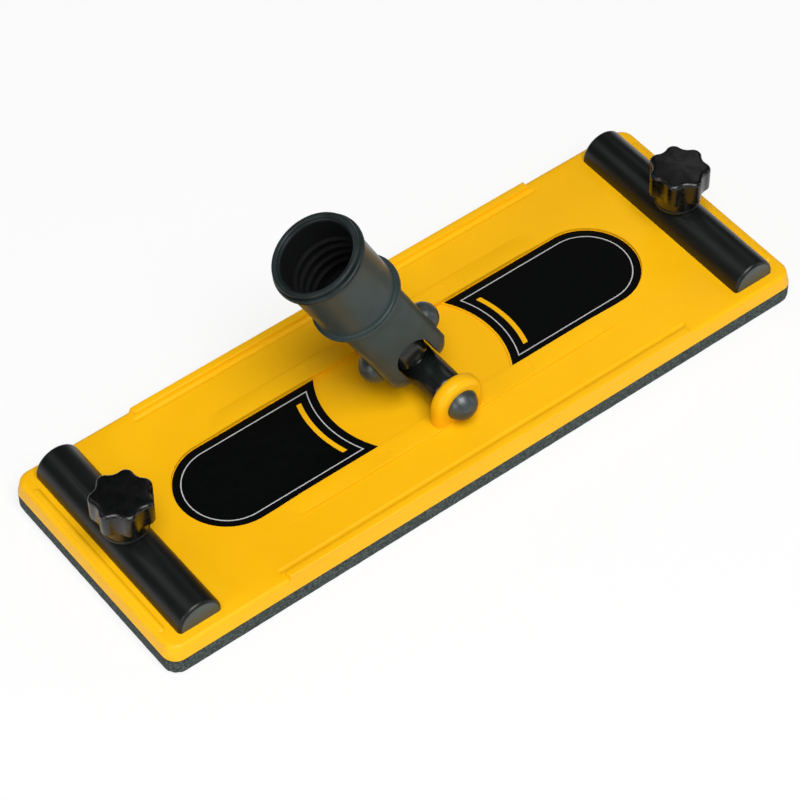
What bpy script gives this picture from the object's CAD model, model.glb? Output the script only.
from math import atan2, cos, degrees, pi, radians, sin, sqrt

import bmesh
import bpy
from mathutils import Matrix, Vector


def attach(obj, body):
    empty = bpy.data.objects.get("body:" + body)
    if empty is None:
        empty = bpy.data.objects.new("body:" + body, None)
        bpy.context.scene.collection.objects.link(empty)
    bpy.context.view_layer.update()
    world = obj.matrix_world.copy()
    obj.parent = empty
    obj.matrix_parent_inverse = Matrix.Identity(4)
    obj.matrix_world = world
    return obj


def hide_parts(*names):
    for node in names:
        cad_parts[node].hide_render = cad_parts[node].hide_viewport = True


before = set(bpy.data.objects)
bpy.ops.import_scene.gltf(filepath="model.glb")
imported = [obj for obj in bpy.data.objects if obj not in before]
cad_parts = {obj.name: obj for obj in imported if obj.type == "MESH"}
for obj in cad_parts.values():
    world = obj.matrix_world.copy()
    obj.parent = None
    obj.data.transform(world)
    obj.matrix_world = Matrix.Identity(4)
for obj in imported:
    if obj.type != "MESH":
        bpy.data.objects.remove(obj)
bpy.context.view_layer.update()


# FOAM PAD
# A sheet of dark sponge rubber, die-cut to the plate's outline and glued under it.
# It carries the abrasive sheet, and its cut sides show the open pores.
MM = 0.001
PLATE_L, PLATE_W, PLATE_R = 235.0, 82.0, 4.6
PAD_T, PAD_EDGE, PAD_VOXEL = 6.2, 0.5, 0.9
PORE_SIZE, PORE_DEPTH = 1.6, 0.16
NOISE_SPAN = 0.3, 0.7
ALONG, ACROSS = 0.9, 0.1


def clear_bench():
    bpy.ops.object.select_all(action="DESELECT")


def named(name):
    """Names the primitive just added and puts its place into its mesh."""
    piece = bpy.context.object
    piece.name = piece.data.name = name
    bpy.ops.object.transform_apply(location=True, rotation=True, scale=True)
    return piece


def block(name, low, high):
    clear_bench()
    size = [b - a for a, b in zip(low, high)]
    middle = [(a + b) / 2 for a, b in zip(low, high)]
    bpy.ops.mesh.primitive_cube_add(size=1, location=middle, scale=size)
    return named(name)


def work_on(piece):
    clear_bench()
    piece.select_set(True)
    bpy.context.view_layer.objects.active = piece


class Editing:
    """Edit mode on one piece, left again at the end of the with block."""

    def __init__(self, piece):
        self.piece = piece

    def __enter__(self):
        work_on(self.piece)
        bpy.ops.object.mode_set(mode="EDIT")
        return self

    def __exit__(self, *problem):
        bpy.ops.object.mode_set(mode="OBJECT")

    def pick(self, kind, test):
        """Selects the faces, edges or vertices whose middle and direction pass a test."""
        bpy.ops.mesh.select_mode(type=kind)
        bpy.ops.mesh.select_all(action="DESELECT")
        mesh = bmesh.from_edit_mesh(self.piece.data)
        mesh.normal_update()
        if kind == "FACE":
            for face in mesh.faces:
                face.select_set(bool(test(face.calc_center_median(), face.normal)))
        elif kind == "EDGE":
            for edge in mesh.edges:
                a, b = edge.verts[0].co, edge.verts[1].co
                edge.select_set(bool(test((a + b) / 2, (b - a).normalized())))
        else:
            for vert in mesh.verts:
                vert.select_set(bool(test(vert.co, vert.normal)))
        mesh.select_flush_mode()
        bmesh.update_edit_mesh(self.piece.data)

    def round_edges(self, test, radius, segments):
        self.pick("EDGE", test)
        bpy.ops.mesh.bevel(offset=radius, segments=segments, affect="EDGES", clamp_overlap=False)

    def close_up(self, gap=0.004):
        bpy.ops.mesh.select_mode(type="VERT")
        bpy.ops.mesh.select_all(action="SELECT")
        bpy.ops.mesh.remove_doubles(threshold=gap)
        bpy.ops.mesh.normals_make_consistent(inside=False)


def finish_with(piece, kind, **settings):
    """Adds a modifier, sets it and applies it."""
    work_on(piece)
    step = piece.modifiers.new(kind.title(), kind)
    for key, value in settings.items():
        setattr(step, key, value)
    bpy.ops.object.modifier_apply(modifier=step.name)


def settle(piece, body, slot, material, *nodes, crease=32):
    """Brings a piece drawn in millimetres to metres and gives it to its body."""
    work_on(piece)
    bpy.ops.object.shade_smooth_by_angle(angle=radians(crease))
    piece.scale = (MM, MM, MM)
    bpy.ops.object.transform_apply(location=True, rotation=True, scale=True)
    piece.data.materials.clear()
    piece.data.materials.append(material)
    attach(piece, body)
    if nodes:
        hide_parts(*nodes)
    return piece


class Finish:
    """A material's node tree, with short ways to add and join nodes."""

    def __init__(self, name):
        self.material = bpy.data.materials.new(name)
        self.material.use_nodes = True
        self.tree = self.material.node_tree
        self.shader = self.tree.nodes["Principled BSDF"]
        self.place = self.add("ShaderNodeTexCoord").outputs["Object"]

    def add(self, kind, **settings):
        node = self.tree.nodes.new(kind)
        for key, value in settings.items():
            setattr(node, key, value)
        return node

    def join(self, source, target):
        self.tree.links.new(source, target)

    def surface(self, **values):
        for key, value in values.items():
            self.shader.inputs[key.replace("_", " ")].default_value = value

    def noise(self, per_mm, detail=3.0, rough=0.5, stretch=(1, 1, 1)):
        """Noise with about per_mm grains to the millimetre."""
        spread = self.add("ShaderNodeMapping")
        spread.inputs["Scale"].default_value = [s / MM for s in stretch]
        self.join(self.place, spread.inputs["Vector"])
        node = self.add("ShaderNodeTexNoise")
        node.inputs["Scale"].default_value = per_mm
        node.inputs["Detail"].default_value = detail
        node.inputs["Roughness"].default_value = rough
        self.join(spread.outputs["Vector"], node.inputs["Vector"])
        return node.outputs["Fac"]

    def colour(self, source, *stops):
        """Base colour from a ramp of (place, colour) stops."""
        node = self.add("ShaderNodeValToRGB")
        band = node.color_ramp
        while len(band.elements) < len(stops):
            band.elements.new(0.5)
        for element, (place, colour) in zip(band.elements, stops):
            element.position = place
            element.color = (*colour, 1)
        self.join(source, node.inputs["Fac"])
        self.join(node.outputs["Color"], self.shader.inputs["Base Color"])

    def math(self, operation, *values):
        """One step of arithmetic on outputs of other nodes and numbers."""
        node = self.add("ShaderNodeMath", operation=operation)
        for socket, value in zip(node.inputs, values):
            if isinstance(value, (int, float)):
                socket.default_value = value
            else:
                self.join(value, socket)
        return node.outputs[0]

    def span(self, a, b):
        """Length of the line with the given two legs."""
        return self.math("SQRT", self.math("MULTIPLY_ADD", a, a, self.math("MULTIPLY", b, b)))

    def axes(self, place):
        """X, Y and Z of a place."""
        node = self.add("ShaderNodeSeparateXYZ")
        self.join(place, node.inputs["Vector"])
        return node.outputs

    def remap(self, source, low, high, to_low, to_high):
        """Stretches one range of values onto another."""
        node = self.add("ShaderNodeMapRange")
        for key, value in zip(("From Min", "From Max", "To Min", "To Max"), (low, high, to_low, to_high)):
            node.inputs[key].default_value = value
        self.join(source, node.inputs["Value"])
        return node.outputs["Result"]

    def roughness(self, source, low, high):
        """Roughness that follows a noise between two values."""
        self.join(self.remap(source, *NOISE_SPAN, low, high), self.shader.inputs["Roughness"])

    def grain(self, height, depth_mm, strength):
        """Bump of the given depth."""
        node = self.add("ShaderNodeBump")
        node.inputs["Strength"].default_value = strength
        node.inputs["Distance"].default_value = depth_mm * MM
        self.join(height, node.inputs["Height"])
        self.join(node.outputs["Normal"], self.shader.inputs["Normal"])


pad = block("foam_sheet", (-PLATE_L / 2, -PLATE_W / 2, 0), (PLATE_L / 2, PLATE_W / 2, PAD_T))
with Editing(pad) as edit:
    edit.round_edges(lambda mid, way: abs(way.z) > ALONG, PLATE_R, 8)
    edit.round_edges(lambda mid, way: abs(way.z) < ACROSS, PAD_EDGE, 2)
finish_with(pad, "REMESH", mode="VOXEL", voxel_size=PAD_VOXEL, adaptivity=0.0)
pores = bpy.data.textures.new("sponge_pores", "CLOUDS")
pores.noise_scale = PORE_SIZE
pores.noise_depth = 2
finish_with(pad, "DISPLACE", texture=pores, texture_coords="LOCAL", strength=PORE_DEPTH, mid_level=0.55)

foam = Finish("sponge_rubber")
foam.surface(Roughness=0.92, Specular_IOR_Level=0.25)
foam.colour(foam.noise(1.5, 4, 0.7), (0.3, (0.016, 0.022, 0.020)), (0.5, (0.05, 0.066, 0.061)),
            (0.72, (0.14, 0.17, 0.16)))
foam.grain(foam.noise(2.4, 4, 0.7), 0.35, 0.8)
settle(pad, "base", "foam", foam.material, "foam_pad", crease=60)


# BASE PLATE
# One yellow plastic moulding: a slab with drawn-in sides, lips along the edges, rails beside
# a sunk field for the labels, a bead across each end, and two ears for the swivel's pin.
PLATE_T = 5.2
PLATE_TOP = PAD_T + PLATE_T
DRAFT, TOP_ROUND = 0.8, 1.2
RECESS_L, RECESS_W, RECESS_DEPTH = 170.0, 34.0, 1.0
RECESS_FLOOR = PLATE_TOP - RECESS_DEPTH
DISH_R, DISH_DEPTH = 29.5, 0.4
DISH_FLOOR = RECESS_FLOOR - DISH_DEPTH
RAIL_L, RAIL_H, RAIL_OUT, RAIL_RAMP, RAIL_EDGE = 128.0, 0.5, 23.7, 10.0, 0.3
LIP_L, LIP_H, LIP_IN, LIP_OUT, LIP_SLOPE = 153.0, 1.2, 36.9, 40.25, 0.7
LIP_TAPER, LIP_EDGE = 0.75, 0.4
VALLEY_R, VALLEY_Y, VALLEY_UP = 1.3, 36.0, 0.95
MARK_R, MARK_X, MARK_Y, MARK_DEPTH = 2.3, 27.0, 20.4, 0.12
BEAD_X, BEAD_R, BEAD_H, BEAD_L = 114.3, 1.6, 0.5, 66.0
PIVOT_Z = PLATE_TOP + 6.7
EAR_IN, EAR_OUT, EAR_R = 18.5, 23.5, 8.6
EAR_ROUND, EAR_INNER_ROUND = 2.2, 1.8
PIN_D, PIN_FIT = 5.0, 0.03
BAR_X = 104.0
BOLT_D, BOLT_HEAD_D, BOLT_SEAT = 6.0, 13.0, 9.1
HEAD_GAP, NECK_GAP = 0.2, 0.1
SIDES = (-1, 1)
# Joined shapes reach into each other by SINK, cutters run out to FAR, and TOUCH counts as level.
SINK, FAR, TOUCH = 1.0, 40.0, 0.01


def rod(name, axis, radius, low, high, across=(0, 0), sides=64):
    """A round bar along one axis from low to high, at a place across it."""
    clear_bench()
    turn = {"X": (0, pi / 2, 0), "Y": (pi / 2, 0, 0), "Z": (0, 0, pi / sides)}[axis]
    middle = list(across)
    middle.insert("XYZ".index(axis), (low + high) / 2)
    bpy.ops.mesh.primitive_cylinder_add(vertices=sides, radius=radius, depth=high - low,
                                        location=middle, rotation=turn)
    return named(name)


def combine(piece, other, how):
    """Joins, cuts or keeps the overlap with another solid, which is used up."""
    finish_with(piece, "BOOLEAN", object=other, operation=how, solver="MANIFOLD")
    bpy.data.objects.remove(other)


def stadium(name, length, width, low, high):
    """A bar with fully rounded ends: a disc whose right half is pulled away."""
    shape = rod(name, "Z", width / 2, low, high, across=(-(length - width) / 2, 0), sides=96)
    with Editing(shape) as edit:
        edit.pick("VERT", lambda co, normal: co.x > -(length - width) / 2)
        bpy.ops.transform.translate(value=(length - width, 0, 0))
    return shape


def arch(name, width, height, low_y, high_y, base, x=0, sides=72):
    """A bar of D section along Y: a round bar cut level, then drawn down to its base."""
    round_z = base + height - width / 2
    bar = rod(name, "Y", width / 2, low_y, high_y, across=(x, round_z), sides=sides)
    with Editing(bar) as edit:
        bpy.ops.mesh.select_all(action="SELECT")
        bpy.ops.mesh.bisect(plane_co=(0, 0, round_z), plane_no=(0, 0, 1), clear_inner=True, use_fill=True)
        edit.pick("FACE", lambda mid, normal: normal.z < -ALONG)
        bpy.ops.mesh.extrude_region_move(TRANSFORM_OT_translate={"value": (0, 0, base - round_z)})
        edit.close_up()
        bpy.ops.mesh.dissolve_limited(angle_limit=radians(0.5))
    return bar


plate = block("plate_moulding", (-PLATE_L / 2, -PLATE_W / 2, PAD_T),
              (PLATE_L / 2, PLATE_W / 2, PLATE_TOP))
with Editing(plate) as edit:
    edit.pick("FACE", lambda mid, normal: normal.z > ALONG)
    bpy.ops.transform.resize(value=(1 - 2 * DRAFT / PLATE_L, 1 - 2 * DRAFT / PLATE_W, 1),
                             center_override=(0, 0, PLATE_TOP))
    edit.round_edges(lambda mid, way: abs(way.z) > ALONG, PLATE_R, 10)
    edit.round_edges(lambda mid, way: mid.z > PLATE_TOP - TOUCH, TOP_ROUND, 4)

for side in SIDES:
    inner, outer = sorted((side * (RECESS_W / 2 - SINK), side * RAIL_OUT))
    rail = block("rail", (-RAIL_L / 2, inner, PLATE_TOP - SINK), (RAIL_L / 2, outer, PLATE_TOP + RAIL_H))
    with Editing(rail) as edit:
        edit.pick("FACE", lambda mid, normal: normal.z > ALONG)
        bpy.ops.transform.resize(value=(1 - 2 * RAIL_RAMP / RAIL_L, 1, 1), center_override=(0, 0, PLATE_TOP))
        edit.pick("FACE", lambda mid, normal: normal.z < -ALONG)
        bpy.ops.transform.resize(value=(1 + 4 * RAIL_RAMP / RAIL_L, 1, 1), center_override=(0, 0, PLATE_TOP))
        edit.round_edges(lambda mid, way: abs(mid.y) > RAIL_OUT - TOUCH and mid.z > PLATE_TOP + TOUCH
                         and abs(way.x) > ALONG, RAIL_EDGE, 2)
    combine(plate, rail, "UNION")

    inner, outer = sorted((side * LIP_IN, side * LIP_OUT))
    lip = block("lip", (-LIP_L / 2, inner, PLATE_TOP - 2 * SINK), (LIP_L / 2, outer, PLATE_TOP + LIP_H))
    with Editing(lip) as edit:
        edit.pick("FACE", lambda mid, normal: normal.z > ALONG)
        bpy.ops.transform.resize(value=(1 - 4 * LIP_SLOPE / LIP_L, LIP_TAPER, 1),
                                 center_override=(0, side * LIP_OUT, PLATE_TOP))
        edit.round_edges(lambda mid, way: mid.z > PLATE_TOP + LIP_H - TOUCH, LIP_EDGE, 3)
    combine(plate, lip, "UNION")

    clear_bench()
    bpy.ops.mesh.primitive_uv_sphere_add(segments=32, ring_count=15, radius=BEAD_R, rotation=(pi / 2, 0, 0),
                                         location=(side * BEAD_X, 0, PLATE_TOP + BEAD_H - BEAD_R))
    bead = named("bead")
    with Editing(bead) as edit:
        for end in SIDES:
            edit.pick("VERT", lambda co, normal: co.y * end > 0)
            bpy.ops.transform.translate(value=(0, end * (BEAD_L / 2 - BEAD_R), 0))
    combine(plate, bead, "UNION")

combine(plate, stadium("field", RECESS_L, RECESS_W, RECESS_FLOOR, FAR), "DIFFERENCE")
dish = rod("dish", "Z", DISH_R, DISH_FLOOR, RECESS_FLOOR + RECESS_DEPTH / 2, sides=128)
half = RECESS_W / 2 - 2 * TOUCH
combine(dish, block("field_width", (-FAR, -half, 0), (FAR, half, FAR)), "INTERSECT")
combine(plate, dish, "DIFFERENCE")
for side in SIDES:
    combine(plate, rod("valley", "X", VALLEY_R, -LIP_L / 2, LIP_L / 2,
                       across=(side * VALLEY_Y, PLATE_TOP + VALLEY_UP), sides=24), "DIFFERENCE")
    for end in SIDES:
        combine(plate, rod("mould_mark", "Z", MARK_R, PLATE_TOP + RAIL_H - MARK_DEPTH, FAR,
                           across=(end * MARK_X, side * MARK_Y), sides=40), "DIFFERENCE")

for side in SIDES:
    low, high = sorted((side * EAR_IN, side * EAR_OUT))
    foot = PLATE_TOP - SINK
    ear = arch("ear", 2 * EAR_R, PIVOT_Z + EAR_R - foot, low, high, foot)
    with Editing(ear) as edit:
        for face_y, rim in ((EAR_OUT, EAR_ROUND), (EAR_IN, EAR_INNER_ROUND)):
            edit.round_edges(lambda mid, way: abs(abs(mid.y) - face_y) < TOUCH and mid.z > foot + TOUCH,
                             rim, 6)
    combine(plate, ear, "UNION")
combine(plate, rod("pin_hole", "Y", PIN_D / 2 + PIN_FIT, -FAR, FAR, across=(0, PIVOT_Z)), "DIFFERENCE")
for side in SIDES:
    combine(plate, rod("head_pocket", "Z", BOLT_HEAD_D / 2 + HEAD_GAP, PAD_T - SINK, BOLT_SEAT,
                       across=(side * BAR_X, 0)), "DIFFERENCE")
    half = BOLT_D / 2 + NECK_GAP
    combine(plate, block("neck_hole", (side * BAR_X - half, -half, BOLT_SEAT - SINK),
                         (side * BAR_X + half, half, PLATE_TOP + SINK)), "DIFFERENCE")

yellow = Finish("yellow_moulding")
yellow.surface(Specular_IOR_Level=0.2)
yellow.colour(yellow.noise(0.02, 3, 0.55), (0.3, (0.90, 0.455, 0.003)), (0.7, (0.96, 0.50, 0.004)))
yellow.roughness(yellow.noise(0.15, 4), 0.30, 0.42)
yellow.grain(yellow.noise(1.2, 3), 0.02, 0.35)
settle(plate, "base", "yellow_plate", yellow.material, "base_plate")


# LABELS
# Two black printed films stuck into the sunk field, round at the plate's ends and hollow
# round the dish. The print is a plain trim of thin lines and one short band.
LABEL_T, LABEL_MARGIN, LABEL_HOLLOW_R = 0.2, 0.3, 30.1
TRIM_INSET, TRIM_W = 2.6, 0.35
BAND_INSET, BAND_W = 6.0, 1.6
FILM_BLACK, BAND_YELLOW, TRIM_GREY = (0.0012, 0.0014, 0.0014), (0.86, 0.44, 0.005), (0.5, 0.51, 0.5)
ENDS = ((-1, "left"), (1, "right"))

film = Finish("printed_film")
film.surface(Specular_IOR_Level=0.09)
axes = film.axes(film.place)
along, across = film.math("ABSOLUTE", axes["X"]), axes["Y"]
past = film.math("MAXIMUM", film.math("SUBTRACT", along, (RECESS_L - RECESS_W) / 2 * MM), 0.0)
side_edge = film.math("SUBTRACT", film.span(past, across), (RECESS_W / 2 - LABEL_MARGIN - TRIM_INSET) * MM)
dish_edge = film.math("SUBTRACT", (LABEL_HOLLOW_R + TRIM_INSET) * MM, film.span(along, across))
trim = film.math("COMPARE", film.math("MAXIMUM", side_edge, dish_edge), 0.0, TRIM_W / 2 * MM)
ring = film.math("COMPARE", dish_edge, (TRIM_INSET - BAND_INSET) * MM, BAND_W / 2 * MM)
band = film.math("MULTIPLY", ring, film.math("LESS_THAN", side_edge, -TRIM_INSET * MM))
film.colour(film.math("MULTIPLY_ADD", band, 0.5, trim), (0.2, FILM_BLACK), (0.3, BAND_YELLOW),
            (0.7, BAND_YELLOW), (0.8, TRIM_GREY))
film.roughness(film.noise(0.4, 3), 0.38, 0.48)

for end, name in ENDS:
    label = stadium(f"label_film_{name}", RECESS_L - 2 * LABEL_MARGIN, RECESS_W - 2 * LABEL_MARGIN,
                    RECESS_FLOOR, RECESS_FLOOR + LABEL_T)
    low, high = sorted((0, -end * PLATE_L / 2))
    combine(label, block("other_half", (low, -FAR, 0), (high, FAR, FAR)), "DIFFERENCE")
    combine(label, rod("hollow_end", "Z", LABEL_HOLLOW_R, 0, FAR, sides=128), "DIFFERENCE")
    settle(label, "base", "label_film", film.material, f"label_{name}")


# PIVOT PINS
# Two steel pins, blackened, with a domed head at one end and a domed cap pressed on the other.
# The lower pin holds the cross in the ears, the upper one holds the fork on the cross.
CAP_DEPTH, PIN_TIP, RIM_FLAT = 2.4, 0.3, 0.3
BASE_DOME, FORK_DOME = (5.2, 4.7), (4.9, 4.1)
PIN_GAP, REST_TILT, REST_LEAN = 11.4, 26.5, 7.0
FORK_W = 21.8
ON_BASE = Matrix.Translation((0, 0, PIVOT_Z))
ON_SWIVEL = ON_BASE @ Matrix.Rotation(radians(-REST_TILT), 4, "Y")
ON_SOCKET = ON_SWIVEL @ Matrix.Translation((0, 0, PIN_GAP)) @ Matrix.Rotation(radians(-REST_LEAN), 4, "X")


def arc(centre, radius, start, end, steps):
    """Points of an arc in a turned profile, angles in degrees."""
    angles = [radians(start + (end - start) * i / steps) for i in range(steps + 1)]
    return [(centre[0] + radius * cos(angle), centre[1] + radius * sin(angle)) for angle in angles]


def drawn(name, profile):
    """A line of (radius, height) points, drawn from one vertex by extruding it."""
    clear_bench()
    bpy.ops.mesh.primitive_plane_add(size=1)
    piece = named(name)
    with Editing(piece):
        bpy.ops.mesh.select_mode(type="VERT")
        bpy.ops.mesh.select_all(action="SELECT")
        bpy.ops.mesh.merge(type="CENTER")
        bpy.ops.transform.translate(value=(profile[0][0], 0, profile[0][1]))
        for (r0, z0), (r1, z1) in zip(profile, profile[1:]):
            bpy.ops.mesh.extrude_vertices_move(TRANSFORM_OT_translate={"value": (r1 - r0, 0, z1 - z0)})
    return piece


def turned(name, profile, steps=72):
    """A lathe-turned solid: a drawn profile, spun round the upright axis."""
    piece = drawn(name, profile)
    with Editing(piece) as edit:
        bpy.ops.mesh.select_all(action="SELECT")
        bpy.ops.mesh.spin(steps=steps, angle=2 * pi, center=(0, 0, 0), axis=(0, 0, 1))
        edit.close_up()
    return piece


def placed(piece, frame_matrix):
    """Moves a piece drawn at the origin to its place in the assembly."""
    work_on(piece)
    piece.matrix_world = frame_matrix
    bpy.ops.object.transform_apply(location=True, rotation=True, scale=True)
    return piece


def dome_arc(rim, rise, base):
    """Profile of a dome that stands on height base, with a small flat under its rim."""
    ball = (rim ** 2 + rise ** 2) / (2 * rise)
    start = 90 - 2 * degrees(atan2(rise, rim))
    top = arc((0, base + rise - ball), ball, start, 90, 14)
    return [(rim - RIM_FLAT, base), (rim, base + RIM_FLAT / 2)] + top[1:]


blackened = Finish("blackened_steel")
blackened.surface(Metallic=0.5, Specular_IOR_Level=0.5)
blackened.colour(blackened.noise(0.6, 4), (0.3, (0.055, 0.068, 0.068)), (0.7, (0.08, 0.095, 0.094)))
blackened.roughness(blackened.noise(1.0, 4), 0.3, 0.5)
blackened.grain(blackened.noise(2.5, 2), 0.02, 0.3)

for pin, half, dome, body, place in (
    ("base_pivot", EAR_OUT, BASE_DOME, "base", ON_BASE @ Matrix.Rotation(pi / 2, 4, "X")),
    ("fork_pivot", FORK_W / 2, FORK_DOME, "socket", ON_SOCKET @ Matrix.Rotation(-pi / 2, 4, "Y")),
):
    shaft, tip = PIN_D / 2, -half - CAP_DEPTH
    head = turned(f"{pin}_headed_pin", [(0, tip), (shaft - PIN_TIP, tip), (shaft, tip + PIN_TIP),
                                        (shaft, half)] + dome_arc(*dome, half))
    settle(placed(head, place), body, "pin_black", blackened.material, f"{pin}_pin")
    hole, hole_end = shaft + PIN_FIT, half + CAP_DEPTH + PIN_FIT
    cap = turned(f"{pin}_domed_cap", [(0, hole_end), (hole, hole_end), (hole, half)] + dome_arc(*dome, half))
    far_end = place @ Matrix.Rotation(pi, 4, "X")
    settle(placed(cap, far_end), body, "pin_black", blackened.material, f"{pin}_cap")


# SWIVEL CROSS
# A glossy black plastic moulding: a barrel that turns on the lower pin, and a round lug
# on top of it, with a rolled rim, that carries the upper pin across it.
BARREL_R, BARREL_ROUND, SIDE_GAP = 5.8, 1.4, 0.3
LUG_R, LUG_W, LUG_ROUND = 8.0, 10.8, 3.2
HUB_R, SLOT_W = 4.8, 12.2
PIN_RUN, CROSS_VOXEL = 0.1, 0.28

cross = rod("cross_moulding", "Y", BARREL_R, -EAR_IN + SIDE_GAP, EAR_IN - SIDE_GAP)
with Editing(cross) as edit:
    edit.round_edges(lambda mid, way: abs(mid.y) > EAR_IN - SIDE_GAP - TOUCH, BARREL_ROUND, 6)
lug = rod("lug", "X", LUG_R, -LUG_W / 2, LUG_W / 2, across=(0, PIN_GAP))
with Editing(lug) as edit:
    edit.round_edges(lambda mid, way: abs(mid.x) > LUG_W / 2 - TOUCH, LUG_ROUND, 8)
combine(cross, lug, "UNION")
hub = rod("hub", "X", HUB_R, -SLOT_W / 2 + SIDE_GAP, SLOT_W / 2 - SIDE_GAP, across=(0, PIN_GAP))
combine(cross, hub, "UNION")
combine(cross, rod("lower_bore", "Y", PIN_D / 2 + PIN_RUN, -FAR, FAR), "DIFFERENCE")
combine(cross, rod("upper_bore", "X", PIN_D / 2 + PIN_RUN, -FAR, FAR, across=(0, PIN_GAP)), "DIFFERENCE")
finish_with(cross, "REMESH", mode="VOXEL", voxel_size=CROSS_VOXEL, adaptivity=0.0)
finish_with(cross, "SMOOTH", factor=0.5, iterations=6)

gloss = Finish("glossy_black_moulding")
gloss.surface(Specular_IOR_Level=0.5)
gloss.colour(gloss.noise(0.2, 3), (0.3, (0.006, 0.0078, 0.0076)), (0.7, (0.010, 0.0125, 0.012)))
gloss.roughness(gloss.noise(0.3, 4), 0.22, 0.3)
gloss.grain(gloss.noise(0.8, 3), 0.02, 0.12)
settle(placed(cross, ON_SWIVEL), "swivel", "swivel_black", gloss.material, "swivel_cross", crease=60)


# POLE SOCKET
# A black plastic moulding in one piece: a fork that straddles the cross, a collar, a slightly
# widening neck and a beaded mouth. A coarse thread inside takes the end of the pole.
FORK_D, FORK_ROUND, FORK_TOP = 22.0, 4.6, 28.45
SLOT_H = 9.5
COLLAR_Z, COLLAR_H, COLLAR_R, COLLAR_EDGE = 27.9, 1.1, 14.35, 0.2
NECK_R, NECK_HOLLOW, NECK_TOP_R, NECK_TOP_HOLLOW = 13.0, 0.8, 13.3, 0.5
RING_FOOT, RING_TOP, RING_R, RING_ROUND = 51.1, 53.0, 14.65, 0.8
GROOVE_R, GROOVE_FOOT, GROOVE_TOP = 13.5, 53.1, 53.45
RIM_R, RIM_ROUND, MOUTH_Z = 13.9, 0.6, 54.7
BORE_R, BORE_L, CORE_R, CORE_L = 11.5, 25.6, 7.5, 13.0
LEAD_IN, LEAD_L = 1.2, 1.6
THREAD_PITCH, THREAD_TURNS, THREAD_START = 3.7, 4, 32.0
THREAD_CREST, THREAD_CREST_W, THREAD_ROOT_W, THREAD_SINK = 10.6, 0.3, 1.8, 0.25

socket = rod("socket_moulding", "X", FORK_D / 2, -FORK_W / 2, FORK_W / 2, sides=80)
with Editing(socket) as edit:
    bpy.ops.mesh.select_all(action="SELECT")
    bpy.ops.mesh.bisect(plane_co=(0, 0, 0), plane_no=(0, 0, 1), clear_outer=True, use_fill=True)
    edit.pick("FACE", lambda mid, normal: normal.z > ALONG)
    bpy.ops.mesh.extrude_region_move(TRANSFORM_OT_translate={"value": (0, 0, FORK_TOP)})
    edit.close_up()
    edit.round_edges(lambda mid, way: abs(mid.x) > FORK_W / 2 - TOUCH and mid.z < FORK_TOP - TOUCH,
                     FORK_ROUND, 7)
combine(socket, arch("slot", SLOT_W, SLOT_H + FAR, -FAR, FAR, -FAR, sides=64), "DIFFERENCE")
combine(socket, rod("fork_pin_hole", "X", PIN_D / 2 + PIN_FIT, -FAR, FAR), "DIFFERENCE")
collar_top = COLLAR_Z + COLLAR_H
upper = turned("upper", [(0, COLLAR_Z), (COLLAR_R - COLLAR_EDGE, COLLAR_Z)]
               + arc((COLLAR_R - COLLAR_EDGE, COLLAR_Z + COLLAR_EDGE), COLLAR_EDGE, -60, 0, 3)
               + arc((COLLAR_R - COLLAR_EDGE, collar_top - COLLAR_EDGE), COLLAR_EDGE, 0, 90, 3)
               + arc((NECK_R + NECK_HOLLOW, collar_top + NECK_HOLLOW), NECK_HOLLOW, 270, 180, 8)
               + arc((NECK_TOP_R + NECK_TOP_HOLLOW, RING_FOOT - NECK_TOP_HOLLOW),
                     NECK_TOP_HOLLOW, 180, 90, 3)
               + arc((RING_R - RING_ROUND, RING_FOOT + RING_ROUND), RING_ROUND, -90, 0, 5)
               + arc((RING_R - RING_ROUND, RING_TOP - RING_ROUND), RING_ROUND, 0, 90, 5)
               + [(GROOVE_R, GROOVE_FOOT), (GROOVE_R, GROOVE_TOP)]
               + arc((RIM_R - RIM_ROUND, MOUTH_Z - RIM_ROUND), RIM_ROUND, -20, 90, 6)
               + [(0, MOUTH_Z)], steps=96)
combine(socket, upper, "UNION")
shoulder, core_end = MOUTH_Z - BORE_L, MOUTH_Z - BORE_L - CORE_L
bore = turned("bore", [(0, MOUTH_Z + SINK), (BORE_R + LEAD_IN, MOUTH_Z + SINK)]
              + arc((BORE_R + LEAD_IN, MOUTH_Z - RIM_ROUND), RIM_ROUND, 90, 195, 6)
              + [(BORE_R, MOUTH_Z - LEAD_L), (BORE_R, shoulder), (CORE_R, shoulder), (CORE_R, core_end),
                 (0, core_end)], steps=96)
combine(socket, bore, "DIFFERENCE")

# The bore is dull and nearly black, and the mouth is darker than the neck.
FADE_FROM, FADE_TO, MOUTH_SHADE = RING_FOOT - 0.3, RING_FOOT + 0.5, 0.28
BORE_SKIN, POLISH = 0.2, 0.5
satin = Finish("satin_black_moulding")
satin.surface(Specular_IOR_Level=0.22)
own = satin.add("ShaderNodeMapping")
back = ON_SOCKET.inverted()
own.inputs["Location"].default_value = back.translation * MM
own.inputs["Rotation"].default_value = back.to_euler()
satin.join(satin.place, own.inputs["Vector"])
axes = satin.axes(own.outputs["Vector"])
from_axis = satin.span(axes["X"], axes["Y"])
outside = satin.math("MAXIMUM", satin.math("GREATER_THAN", from_axis, (BORE_R + BORE_SKIN) * MM),
                     satin.math("LESS_THAN", axes["Z"], COLLAR_Z * MM))
mouth = satin.remap(axes["Z"], FADE_FROM * MM, FADE_TO * MM, 1.0, MOUTH_SHADE)
shade = satin.math("MULTIPLY", satin.noise(0.12, 4), satin.math("MULTIPLY", outside, mouth))
satin.colour(shade, (0.0, (0.0012, 0.0015, 0.0015)), (0.3, (0.026, 0.040, 0.0395)),
             (0.7, (0.034, 0.050, 0.049)))
dull = satin.remap(satin.noise(0.15, 2), *NOISE_SPAN, 0.8, 0.9)
satin.join(satin.math("MULTIPLY_ADD", outside, -POLISH, dull), satin.shader.inputs["Roughness"])
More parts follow.
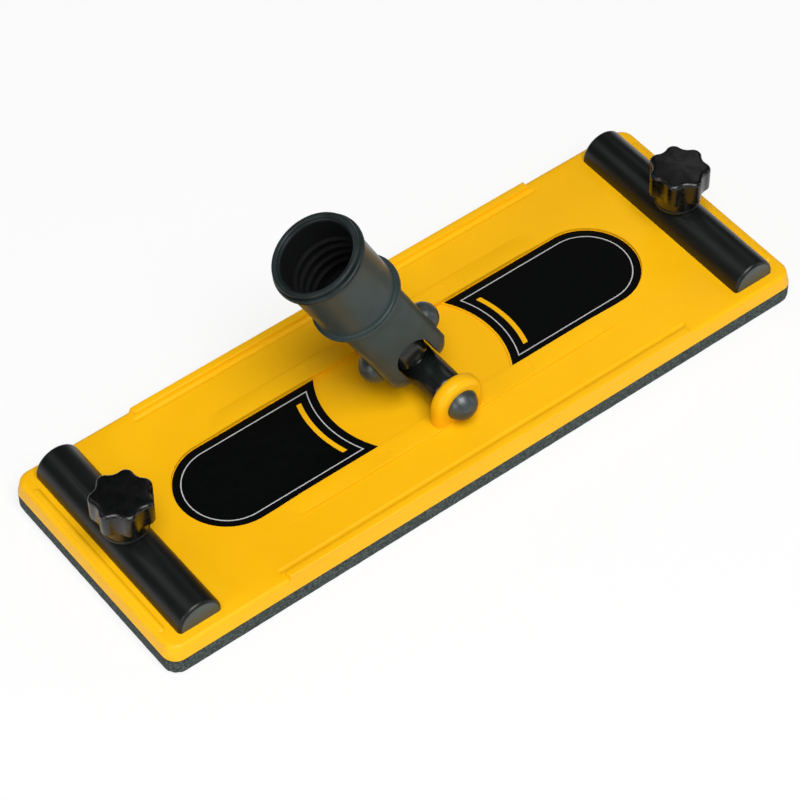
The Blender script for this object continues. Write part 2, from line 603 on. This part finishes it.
satin.grain(satin.noise(1.2, 1), 0.02, 0.1)
settle(placed(socket, ON_SOCKET), "socket", "socket_black", satin.material, "pole_socket")

root_r, root, crest = BORE_R + THREAD_SINK, THREAD_ROOT_W / 2, THREAD_CREST_W / 2
thread = drawn("pole_thread", [(root_r, THREAD_START - root), (THREAD_CREST, THREAD_START - crest),
                               (THREAD_CREST, THREAD_START + crest), (root_r, THREAD_START + root)])
with Editing(thread):
    bpy.ops.mesh.select_all(action="SELECT")
    bpy.ops.mesh.edge_face_add()
finish_with(thread, "SCREW", axis="Z", angle=2 * pi, screw_offset=THREAD_PITCH, iterations=THREAD_TURNS,
            steps=72, render_steps=72, use_merge_vertices=False)
with Editing(thread) as edit:
    bpy.ops.mesh.select_all(action="SELECT")
    bpy.ops.mesh.fill_holes(sides=8)
    edit.close_up(0.001)
settle(placed(thread, ON_SOCKET), "socket", "socket_black", satin.material)


# CLAMP BARS
# Black plastic bars of D section that press the ends of the abrasive sheet onto the plate.
# Each is hollow underneath, with ribs, and has a flat seat round its bolt hole and paler ends.
BAR_L, BAR_W, BAR_H, BAR_WALL, BAR_EDGE = 73.4, 14.8, 8.0, 2.4, 1.2
BAR_CORE, BAR_RIBS, BAR_RIB_T = 18.0, 2, 1.6
SEAT_DEPTH, WASHER_R, BOLT_GAP = 0.4, 7.2, 0.3
SEAT_Z = PLATE_TOP + BAR_H - SEAT_DEPTH
BAR_BLACK, BAR_WORN, BAR_END = (0.0022, 0.0034, 0.0032), (0.0036, 0.0052, 0.0050), (0.05, 0.066, 0.062)

bar_black = Finish("bar_black_moulding")
bar_black.surface(Specular_IOR_Level=0.4)
from_middle = bar_black.math("ABSOLUTE", bar_black.axes(bar_black.place)["Y"])
end_face = bar_black.math("GREATER_THAN", from_middle, (BAR_L / 2 - 0.05) * MM)
streaks = bar_black.noise(0.08, 4, stretch=(1, 0.2, 1))
bar_black.colour(bar_black.math("MAXIMUM", streaks, end_face), (0.3, BAR_BLACK), (0.7, BAR_WORN),
                 (0.9, BAR_WORN), (1.0, BAR_END))
bar_black.roughness(bar_black.noise(0.4, 4, stretch=(1, 0.15, 1)), 0.32, 0.42)
bar_black.grain(bar_black.noise(1.8, 3), 0.03, 0.4)

bay = ((BAR_L - BAR_CORE) / 2 - BAR_WALL - BAR_RIBS * BAR_RIB_T) / (BAR_RIBS + 1)
for end, name in ENDS:
    x = end * BAR_X
    bar = arch(f"bar_moulding_{name}", BAR_W, BAR_H, -BAR_L / 2, BAR_L / 2, PLATE_TOP, x)
    with Editing(bar) as edit:
        edit.round_edges(lambda mid, way: abs(mid.y) > BAR_L / 2 - TOUCH and mid.z > PLATE_TOP + TOUCH,
                         BAR_EDGE, 5)
    for side in SIDES:
        for i in range(BAR_RIBS + 1):
            near = BAR_CORE / 2 + i * (bay + BAR_RIB_T)
            low, high = sorted((side * near, side * (near + bay)))
            combine(bar, arch("hollow", BAR_W - 2 * BAR_WALL, BAR_H - BAR_WALL + SINK, low, high,
                              PLATE_TOP - SINK, x), "DIFFERENCE")
    combine(bar, rod("bolt_hole", "Z", BOLT_D / 2 + BOLT_GAP, 0, FAR, across=(x, 0)), "DIFFERENCE")
    combine(bar, rod("seat", "Z", WASHER_R + BOLT_GAP, SEAT_Z, FAR, across=(x, 0)), "DIFFERENCE")
    settle(bar, f"{name}_bar", "bar_black", bar_black.material, f"clamp_bar_{name}")


# WASHERS
# Black nylon rings, stamped from sheet, that lie loose on the bars' flat seats.
# The knobs turn on them and press the bars down through them.
WASHER_T, WASHER_EDGE = 1.0, 0.2
WASHER_TOP = SEAT_Z + WASHER_T

nylon = Finish("black_nylon")
nylon.surface(Roughness=0.5)
nylon.colour(nylon.noise(0.5, 3), (0.3, (0.004, 0.004, 0.004)), (0.7, (0.007, 0.007, 0.007)))
nylon.grain(nylon.noise(2.0, 3), 0.02, 0.3)

for end, name in ENDS:
    hole, edge = BOLT_D / 2 + BOLT_GAP, WASHER_R - WASHER_EDGE
    ring = turned(f"washer_ring_{name}", [(hole, 0)] + arc((edge, WASHER_EDGE), WASHER_EDGE, -90, 0, 2)
                  + arc((edge, WASHER_T - WASHER_EDGE), WASHER_EDGE, 0, 90, 2)
                  + [(hole, WASHER_T), (hole, 0)], steps=64)
    settle(placed(ring, Matrix.Translation((end * BAR_X, 0, SEAT_Z))), f"{name}_bar", "washer_black",
           nylon.material, f"clamp_washer_{name}")


# CLAMP KNOBS
# Black plastic star knobs of seven lobes on a round neck, moulded over a brass insert that
# runs on the bolt. The top is slightly domed and every edge is rolled.
KNOB_R, KNOB_HOLLOW_R, LOBE_R, LOBES = 9.7, 8.25, 2.5, 7
LOBE_H, LOBE_TOP_EDGE, LOBE_FOOT_EDGE = 8.7, 1.1, 0.9
NECK_H, KNOB_NECK_R, KNOB_NECK_FLARE, KNOB_NECK_EDGE = 4.4, 7.1, 0.6, 0.4
DOME_RINGS = ((0.83, 0.12), (0.75, 0.14), (0.6, 0.14), (0.4, 0.1))
KNOB_TURN = {"left": -5, "right": 11}
INSERT_R, INSERT_L, INSERT_SINK = 4.5, 8.5, 0.4
LOBE_STEPS, ANGLE_SLACK = 20, 0.005

lobe_c = KNOB_R - LOBE_R
half_step = pi / LOBES
hollow_r = ((LOBE_R ** 2 - KNOB_HOLLOW_R ** 2 + 2 * lobe_c * KNOB_HOLLOW_R * cos(half_step) - lobe_c ** 2)
            / (2 * (KNOB_HOLLOW_R - lobe_c * cos(half_step) - LOBE_R)))
hollow_c = KNOB_HOLLOW_R + hollow_r
meet = Vector((lobe_c, 0)).lerp(Vector((hollow_c * cos(half_step), hollow_c * sin(half_step))),
                                LOBE_R / (LOBE_R + hollow_r))


def star_radius(angle):
    """Radius of the lobed outline at an angle from the middle of a lobe."""
    away = abs((angle + half_step) % (2 * half_step) - half_step)
    if away < atan2(meet.y, meet.x):
        return lobe_c * cos(away) + sqrt(LOBE_R ** 2 - (lobe_c * sin(away)) ** 2)
    back = half_step - away
    return hollow_c * cos(back) - sqrt(hollow_r ** 2 - (hollow_c * sin(back)) ** 2)


knob_black = Finish("knob_black_moulding")
knob_black.surface(Specular_IOR_Level=0.5, Base_Color=(0.0018, 0.0020, 0.0020, 1))
knob_black.roughness(knob_black.noise(0.4, 4), 0.22, 0.36)
knob_black.grain(knob_black.noise(1.5, 3), 0.02, 0.3)

for end, name in ENDS:
    knob = rod(f"star_knob_{name}", "Z", 1.0, NECK_H, NECK_H + LOBE_H, sides=LOBES * LOBE_STEPS)
    with Editing(knob) as edit:
        for i in range(LOBE_STEPS):
            angle = (i + 0.5) * 2 * half_step / LOBE_STEPS
            edit.pick("VERT", lambda co, normal:
                      abs(atan2(co.y, co.x) % (2 * half_step) - angle) < ANGLE_SLACK)
            grow = star_radius(angle)
            bpy.ops.transform.resize(value=(grow, grow, 1), center_override=(0, 0, 0))
        edit.pick("FACE", lambda mid, normal: normal.z > ALONG)
        for shrink, rise in DOME_RINGS:
            bpy.ops.mesh.extrude_region_move(TRANSFORM_OT_translate={"value": (0, 0, rise)})
            bpy.ops.transform.resize(value=(shrink, shrink, 1), center_override=(0, 0, 0))
        for height, rim, steps in ((NECK_H + LOBE_H, LOBE_TOP_EDGE, 5), (NECK_H, LOBE_FOOT_EDGE, 4)):
            edit.round_edges(lambda mid, way: abs(mid.z - height) < TOUCH and abs(way.z) < ACROSS, rim, steps)
    neck = turned("neck", [(0, NECK_H + SINK), (KNOB_NECK_R + KNOB_NECK_FLARE, NECK_H + SINK),
                           (KNOB_NECK_R, NECK_H - KNOB_NECK_EDGE)]
                  + arc((KNOB_NECK_R - KNOB_NECK_EDGE, KNOB_NECK_EDGE), KNOB_NECK_EDGE, 0, -90, 4)
                  + [(0, 0)], steps=72)
    combine(knob, neck, "UNION")
    hole_top = INSERT_SINK + INSERT_L + PIN_FIT
    combine(knob, rod("insert_hole", "Z", INSERT_R + PIN_FIT, -SINK, hole_top), "DIFFERENCE")
    turn = Matrix.Rotation(radians(KNOB_TURN[name]), 4, "Z")
    place = Matrix.Translation((end * BAR_X, 0, WASHER_TOP)) @ turn
    settle(placed(knob, place), f"{name}_knob", "knob_black", knob_black.material, f"clamp_knob_{name}")


# BOLTS AND INSERTS
# Zinc-plated bolts, held by their square necks in the plate, and turned brass inserts in
# the knobs. They keep their solids; the screw thread is in the finish.
THREAD_STEP = 1.0


def threaded(name, colour_low, colour_high, rough):
    metal = Finish(name)
    metal.surface(Metallic=1.0, Roughness=rough)
    metal.colour(metal.noise(0.8, 4), (0.3, colour_low), (0.7, colour_high))
    wave = metal.add("ShaderNodeTexWave", bands_direction="Z", wave_profile="TRI")
    wave.inputs["Scale"].default_value = pi / (10 * THREAD_STEP * MM)
    metal.join(metal.place, wave.inputs["Vector"])
    metal.grain(wave.outputs["Fac"], 0.4, 0.6)
    return metal.material


plated = threaded("zinc_plated_steel", (0.42, 0.42, 0.40), (0.62, 0.62, 0.60), 0.35)
brass = threaded("turned_brass", (0.50, 0.33, 0.09), (0.68, 0.46, 0.14), 0.3)
for name in ("left", "right"):
    for node, metal in ((f"clamp_bolt_{name}", plated), (f"knob_insert_{name}", brass)):
        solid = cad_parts[node]
        solid.data.materials.clear()
        solid.data.materials.append(metal)


# STUDIO
# A plain white floor that keeps a soft shadow, large soft lamps, and the camera that was
# fitted to the photograph's view.
CAMERA_AT = (-0.37917, -0.49995, 0.73623)
CAMERA_RIGHT = Vector((0.79108, -0.61157, -0.01337))
CAMERA_DOWN = Vector((-0.47284, -0.59746, -0.64766))
CAMERA_LENS, CAMERA_SENSOR = 143.776, 36.0
FLOOR_SIZE, FLOOR_GLOW, WORLD_LIGHT = 8.0, 0.75, 0.03

clear_bench()
bpy.ops.mesh.primitive_plane_add(size=FLOOR_SIZE)
floor = named("floor")
paper = Finish("white_paper")
paper.surface(Base_Color=(0.9, 0.9, 0.9, 1), Roughness=0.9)
rays = paper.add("ShaderNodeLightPath")
seen = paper.math("MAXIMUM", rays.outputs["Is Camera Ray"],
                  paper.math("MAXIMUM", rays.outputs["Is Glossy Ray"], rays.outputs["Is Transmission Ray"]))
white = paper.add("ShaderNodeEmission")
white.inputs["Strength"].default_value = 1.0
blend = paper.add("ShaderNodeMixShader")
paper.join(paper.math("MULTIPLY", seen, FLOOR_GLOW), blend.inputs["Fac"])
paper.join(paper.shader.outputs["BSDF"], blend.inputs[1])
paper.join(white.outputs["Emission"], blend.inputs[2])
paper.join(blend.outputs["Shader"], paper.tree.nodes["Material Output"].inputs["Surface"])
floor.data.materials.append(paper.material)

scene = bpy.context.scene
scene.view_settings.view_transform = "Standard"
world = bpy.data.worlds.new("studio")
world.use_nodes = True
sky = world.node_tree.nodes["Background"]
sky.inputs["Color"].default_value = (1, 1, 1, 1)
sky.inputs["Strength"].default_value = WORLD_LIGHT
scene.world = world


def lamp(name, at, size, power):
    """A rectangular lamp that looks at the middle of the floor."""
    clear_bench()
    bpy.ops.object.light_add(type="AREA", location=at)
    light = bpy.context.object
    light.name = name
    light.data.shape = "RECTANGLE"
    light.data.size, light.data.size_y = size
    light.data.energy = power
    light.rotation_euler = (-Vector(at)).to_track_quat("-Z", "Y").to_euler()


lamp("key_lamp", (-0.28, -0.76, 1.72), (1.3, 1.3), 38)
lamp("left_lamp", (-1.25, -0.35, 0.5), (0.7, 0.5), 4)
lamp("right_lamp", (1.1, -0.7, 0.5), (0.5, 0.6), 1.7)
lamp("front_card", (-0.15, -1.45, 0.4), (1.0, 0.6), 1.7)
lamp("back_left_card", (-0.58, 0.77, 1.15), (0.9, 0.6), 1.5)
lamp("back_right_card", (0.90, 0.66, 1.0), (0.5, 0.5), 0.5)

clear_bench()
bpy.ops.object.camera_add(location=CAMERA_AT)
camera = bpy.context.object
ahead = CAMERA_RIGHT.cross(-CAMERA_DOWN)
camera.rotation_euler = Matrix((CAMERA_RIGHT, -CAMERA_DOWN, ahead)).transposed().to_euler()
camera.data.sensor_width = CAMERA_SENSOR
camera.data.lens = CAMERA_LENS
scene.camera = camera
